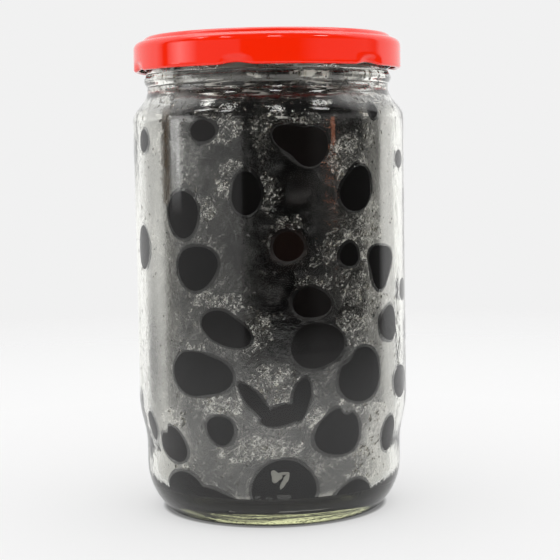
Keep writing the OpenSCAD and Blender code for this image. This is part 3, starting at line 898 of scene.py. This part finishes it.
# Dry and matt on its torn side, so it stands out grey against the wet dark skin.
made, tree, shader, _ = material("pale_torn_skin")
shader.inputs["Base Color"].default_value = linear("#a9a8a2")
shader.inputs["Roughness"].default_value = 0.6
scrap.data.materials.append(made)
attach(scrap, "root")

# ---------------------------------------------------------------------------------------------------
# The droplets: brine standing in beads on the inside of the glass, round or drawn out. Most of them are in
# the froth, and some are at the neck.
# ---------------------------------------------------------------------------------------------------

rng = np.random.default_rng(23)
n_tries = 16000
spots = np.column_stack([rng.uniform(-180, 180, n_tries), rng.uniform(11, 137, n_tries)])
nearest, foam = near_olives(spots[:, 0], spots[:, 1])
neck_part = 0.5 * soft((spots[:, 1] - 122) / 6)
keep = (nearest > 0.6) & (rng.uniform(0, 1, n_tries) < 0.04 + 0.55 * foam + neck_part)
spots = spots[keep][:2400]
n_drops = len(spots)
drop_half = 0.28
long = drop_half * np.exp(0.45 * rng.normal(size=n_drops)) * rng.choice([1, 1, 1.8, 2.6], n_drops)
short = np.minimum(long, drop_half * np.exp(0.35 * rng.normal(size=n_drops)))
drop_table = np.column_stack([
    2 * long, 2 * short, rng.uniform(-90, 90, n_drops), np.full(n_drops, 0.08),
    rng.uniform(0, 360, n_drops), np.zeros((n_drops, 4)), np.full(n_drops, 30.0),
])
drop_turns = np.linspace(0, 2 * np.pi, 8, endpoint=False)
drop_edge = outlines(drop_table, drop_turns[None])[:, None, :]
drop_rise = np.array([0.0, 0.42, 0.85, 1.2])[None, :, None]
drop_out = drop_edge * np.cos(drop_rise)
drop_deep = np.sqrt(long * short)[:, None, None] * 0.75 * np.sin(drop_rise) - 0.03 + 0 * drop_out
drop_height = spots[:, 1][:, None, None] + drop_out * np.sin(drop_turns)
drop_angle = np.radians(spots[:, 0] - 90)[:, None, None] + drop_out * np.cos(drop_turns) / wall_r
drop_r = inside(drop_height) - inner_wave(drop_angle, drop_height) - drop_deep
drops = many("brine_droplets", [np.stack([
    drop_r * np.cos(drop_angle), drop_r * np.sin(drop_angle), drop_height], -1)])
# Thin clear brine, a little warm in tone, which bends the light behind it.
made, tree, shader, _ = material("clear_brine")
shader.inputs["Transmission Weight"].default_value = 1.0
shader.inputs["Roughness"].default_value = 0.0
shader.inputs["IOR"].default_value = 1.34
shader.inputs["Base Color"].default_value = linear("#f6f2e8")
drops.data.materials.append(made)
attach(drops, "root")

# ---------------------------------------------------------------------------------------------------
# The stage: a white table lit from below, a strip light on the left, and a surround of bright and dark
# panels and lamps that only reflections and glass see. It is plain pale grey to the camera and plain white
# to matt surfaces. The camera stands a little above the middle of the jar.
# ---------------------------------------------------------------------------------------------------

floor_line = np.array([[900.0, -0.02], [300.0, -0.02], [80.0, -0.02], [1.0, -0.02]])
floor = grid_mesh("white_table", turned(floor_line, 96), [[0, 0, -0.02]])

# Matt and lit through, so it shows no seam. Its colour and glow are painted darker in a disc under the foot
# and a thin ring just outside it: a painted contact shadow.
made, tree, shader, _ = material("lit_white_acrylic")
place = add(tree, "TexCoord").outputs["Object"]
far = add(tree, "VectorMath", place, operation="LENGTH").outputs["Value"]
# Painted contact shadow: colour and glow fall to 0.35 within 35.2 mm of the middle and come back by 36.6 mm.
painted_foot_shadow = add(tree, "MapRange", far, 0.0352, 0.0366, 0.35, 1.0)
for name, share in (("Base Color", 0.5), ("Emission Strength", 0.42)):
    lit = add(tree, "Math", painted_foot_shadow, share, operation="MULTIPLY")
    tree.links.new(lit.outputs[0], shader.inputs[name])
shader.inputs["Roughness"].default_value = 0.9
shader.inputs["Specular IOR Level"].default_value = 0.0
shader.inputs["Emission Color"].default_value = (1, 1, 1, 1)
fade = add(tree, "MapRange", far, 0.22, 0.6, 1.0, 0.0)
tree.links.new(fade.outputs[0], shader.inputs["Alpha"])
floor.data.materials.append(made)

strip_turn = -82
strip_far = 900
strip_half = 90
strip_at = math.radians(-90 + strip_turn)
strip_mid = np.array([math.cos(strip_at), math.sin(strip_at), 0]) * strip_far
strip_side = np.array([-math.sin(strip_at), math.cos(strip_at), 0]) * strip_half
strip_points = strip_mid + np.array([-1, 1, 1, -1])[:, None] * strip_side
strip_points[:, 2] = [45, 45, 200, 200]
strip = mesh_object("strip_light", strip_points * MM, np.array([0, 1, 2, 3]), np.array([4]))

# A plain glowing face that fades out softly at all four sides, as a lit cloth does.
made, tree, shader, _ = material("strip_light_face")
shader.inputs["Base Color"].default_value = (0, 0, 0, 1)
shader.inputs["Emission Color"].default_value = (1, 1, 1, 1)
shader.inputs["Emission Strength"].default_value = 3.6
place = add(tree, "TexCoord").outputs["Object"]
along = add(tree, "VectorMath", place, operation="DOT_PRODUCT")
along.inputs[1].default_value = tuple(strip_side / strip_half)
along = add(tree, "Math", along.outputs["Value"], operation="ABSOLUTE")
strip_z = add(tree, "SeparateXYZ", place).outputs["Z"]
evenly = add(tree, "MapRange", along, 0.055, 0.09, 1.0, 0.0)
top_fade = add(tree, "MapRange", strip_z, 0.155, 0.18, 1.0, 0.0)
rising = add(tree, "Math", add(tree, "MapRange", strip_z, 0.06, 0.12), top_fade, operation="MULTIPLY")
rising = add(tree, "Math", evenly, rising, operation="MULTIPLY")
tree.links.new(rising.outputs[0], shader.inputs["Alpha"])
strip.data.materials.append(made)
strip.visible_camera = False

world = bpy.data.worlds.new("white_surround")
bpy.context.scene.world = world
world.use_nodes = True
tree = world.node_tree
tree.nodes.clear()
look = add(tree, "TexCoord").outputs["Generated"]
look_x, look_y, look_z = add(tree, "SeparateXYZ", look).outputs
from_camera = add(tree, "Math", look_y, -1.0, operation="MULTIPLY")
around_front = add(tree, "Math", look_x, from_camera, operation="ARCTAN2")

# The panels: angle round from the front in degrees, and how bright the surround is there.
stops = [
    (-180, 0.95), (-112, 1.1), (-108, 1.2), (-100, 0.5), (-98, 0.06), (-94, 0.06), (-92, 0.5), (-60, 0.45),
    (-24, 0.42), (-21, 0.03), (30, 0.02), (42, 0.12), (52, 0.1), (62, 0.03), (85, 0.05), (104, 0.1),
    (112, 1.1), (135, 1.1), (180, 0.95)]
panels = add(tree, "ValToRGB", add(tree, "MapRange", around_front, -math.pi, math.pi))
ramp = panels.color_ramp
while len(ramp.elements) < len(stops):
    ramp.elements.new(0.5)
for stop, (turned_by, _) in zip(ramp.elements, stops):
    stop.position = (turned_by + 180) / 360
for stop, (_, bright) in zip(ramp.elements, stops):
    stop.color = (bright, bright, bright, 1)

# The row of lamps: two waves round the surround set their uneven widths, with a gap a little left of the
# middle.
waves_round = []
for turns_round in (13.0, 7.7):
    turned_by = add(tree, "Math", around_front, turns_round, operation="MULTIPLY")
    waves_round.append(add(tree, "Math", turned_by, operation="SINE"))
slats = add(tree, "Math", *waves_round, operation="ADD")
from_gap = add(tree, "Math", around_front, 0.4, operation="ADD")
from_gap = add(tree, "Math", from_gap, operation="ABSOLUTE")

# Each patch over the panels: its light, then its soft edges, as a source, where the edge starts and ends,
# and where it falls instead of rising, 1 and 0.
lights = [
    (0.45, 0.45, 0.45), (3.2, 3.2, 3.2), (3.0, 1.1, 0.6), (0.06, 0.06, 0.06), (1.2, 1.2, 1.2),
    (3.6, 3.6, 3.6), (9.0, 9.0, 9.0)]
soft_edges = [
    [(around_front, 0.45, 0.8), (around_front, 1.6, 1.9, 1.0, 0.0), (look_z, 0.02, 0.05)],
    [(around_front, -1.62, -1.38), (around_front, -1.36, -1.05, 1.0, 0.0), (look_z, 0.02, 0.05)],
    [(around_front, 0.92, 0.95), (around_front, 0.99, 1.02, 1.0, 0.0),
     (look_z, 0.005, 0.01), (look_z, 0.03, 0.04, 1.0, 0.0)],
    [(look_z, 0.2, 0.4), (look_y, 0.2, -0.1)],
    [(look_z, 0.35, 0.6), (look_y, -0.1, 0.2)],
    [(look_z, 0.75, 0.85), (look_y, 0.2, 0.3)],
    [(slats, 0.2, 0.5), (look_y, -0.05, -0.15), (look_z, 0.70, 0.72), (look_z, 0.8, 0.82, 1.0, 0.0),
     (from_gap, 0.2, 0.26)],
]
surround = panels.outputs[0]
for colour, edges in zip(lights, soft_edges):
    share = add(tree, "MapRange", *edges[0])
    for edge in edges[1:]:
        share = add(tree, "Math", share, add(tree, "MapRange", *edge), operation="MULTIPLY")
    layer = add(tree, "Mix", ("Factor", share), ("A", surround), data_type="RGBA")
    layer.inputs["B"].default_value = (*colour, 1)
    surround = layer.outputs["Result"]

# Reflections and what the glass bends see the surround, but not by way of a matt surface.
seen = add(tree, "LightPath")
mirrored, through = seen.outputs["Is Glossy Ray"], seen.outputs["Is Transmission Ray"]
sharp = add(tree, "Math", mirrored, through, operation="MAXIMUM")
never_matt = add(tree, "Math", seen.outputs["Diffuse Depth"], 0.5, operation="LESS_THAN")
straight = add(tree, "Math", sharp, never_matt, operation="MULTIPLY")
light = add(tree, "Mix", ("Factor", straight), ("B", surround), data_type="RGBA")
light.inputs["A"].default_value = (1.1, 1.1, 1.1, 1)
choice = add(
    tree, "Mix", ("Factor", seen.outputs["Is Camera Ray"]), ("A", light.outputs["Result"]), data_type="RGBA")
choice.inputs["B"].default_value = (0.88, 0.88, 0.88, 1)
shine = add(tree, "Background", ("Color", choice.outputs["Result"]))
add(tree, "OutputWorld", ("Surface", shine))

camera = bpy.data.objects.new("camera", bpy.data.cameras.new("camera"))
bpy.context.scene.collection.objects.link(camera)
camera.data.sensor_width = 36.0
camera.data.lens = 97.6
camera.data.clip_start = 0.01
camera.location = (0.0, -0.489, 0.1134)
pan = Matrix.Rotation(math.radians(-0.34), 3, "Z")
tip = Matrix.Rotation(math.radians(90 - 4.79), 3, "X")
roll = Matrix.Rotation(math.radians(-1.0), 3, "Z")
camera.rotation_euler = (pan @ tip @ roll).to_euler()
bpy.context.scene.camera = camera
bpy.context.scene.view_settings.view_transform = "Standard"
